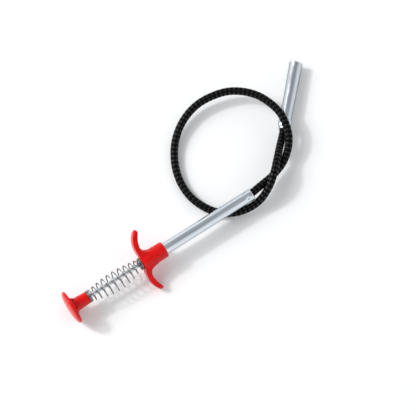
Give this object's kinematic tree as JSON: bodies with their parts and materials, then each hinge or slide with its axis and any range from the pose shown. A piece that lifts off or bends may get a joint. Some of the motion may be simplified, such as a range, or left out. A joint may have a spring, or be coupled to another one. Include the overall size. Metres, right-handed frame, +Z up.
{
  "type": "drain auger",
  "caption": "Spring drain auger: thumb button, barrel spring and winged grip on a steel tube, looped braided sheath and a tip sleeve with spreading hooked prongs.",
  "frame": {"origin": "on the surface the tool lies on, under the middle of the straight handle", "axes": "+X along the handle from the thumb button to the end of the tube, +Z up from the surface"},
  "size_m": [0.2817, 0.1208, 0.029],
  "materials": {
    "red_plastic": "glossy moulded plastic with a faint parting line",
    "zinc_steel": "bright zinc plating with fine drawn streaks",
    "spring_steel": "drawn spring wire, satin",
    "bright_steel": "drawn steel rod and twisted wire",
    "black_braid": "glossy black braided sleeving",
    "brass": "turned brass"
  },
  "bodies": {
    "root": {"finger_grip": "red_plastic", "handle_tube": "zinc_steel", "rod_guide_bush": "brass", "spring_washer_front": "spring_steel", "return_spring": "spring_steel", "braided_sheath": "black_braid", "conduit_liner": "spring_steel", "core_wire_middle": "bright_steel", "tip_sleeve": "zinc_steel", "tip_guide_bush": "brass"},
    "plunger": {"thumb_button": "red_plastic", "plunger_rod": "bright_steel", "spring_washer_rear": "spring_steel", "rod_ferrule": "brass", "core_wire_rear": "bright_steel"},
    "claw": {"claw_carrier": "bright_steel", "core_wire_front": "bright_steel"},
    "hook_1": {"prong_1": "spring_steel"},
    "hook_2": {"prong_2": "spring_steel"},
    "hook_3": {"prong_3": "spring_steel"},
    "hook_4": {"prong_4": "spring_steel"}
  },
  "joints": [
    {"name": "plunger_slide", "type": "slide", "parent": "root", "child": "plunger", "axis": [1, 0, 0], "range_m": [0, 0.035], "stiffness_N_per_m": 420, "springref_m": -0.008, "deforming": ["return_spring"]},
    {"name": "claw_slide", "type": "slide", "parent": "root", "child": "claw", "axis": [0.6945, 0.7192, -0.0228], "range_m": [0, 0.035]},
    {"name": "prong_1_swing", "type": "hinge", "parent": "claw", "child": "hook_1", "pos_m": [0.16729, 0.0588, 0.00732], "axis": [0.5199, -0.4796, 0.7069], "range_deg": [0, 24.1]},
    {"name": "prong_2_swing", "type": "hinge", "parent": "claw", "child": "hook_2", "pos_m": [0.16882, 0.05733, 0.00732], "axis": [0.4974, -0.5028, -0.7069], "range_deg": [0, 24.1]},
    {"name": "prong_3_swing", "type": "hinge", "parent": "claw", "child": "hook_3", "pos_m": [0.16879, 0.05729, 0.00519], "axis": [-0.5199, 0.4796, -0.7069], "range_deg": [0, 24.1]},
    {"name": "prong_4_swing", "type": "hinge", "parent": "claw", "child": "hook_4", "pos_m": [0.16726, 0.05876, 0.00519], "axis": [-0.4974, 0.5028, 0.7069], "range_deg": [0, 24.1]}
  ],
  "couplings": [
    {"joint": "claw_slide", "follows": "plunger_slide", "ratio": 1},
    {"joint": "prong_1_swing", "follows": "plunger_slide", "rad_per_m": 12},
    {"joint": "prong_2_swing", "follows": "plunger_slide", "rad_per_m": 12},
    {"joint": "prong_3_swing", "follows": "plunger_slide", "rad_per_m": 12},
    {"joint": "prong_4_swing", "follows": "plunger_slide", "rad_per_m": 12}
  ]
}
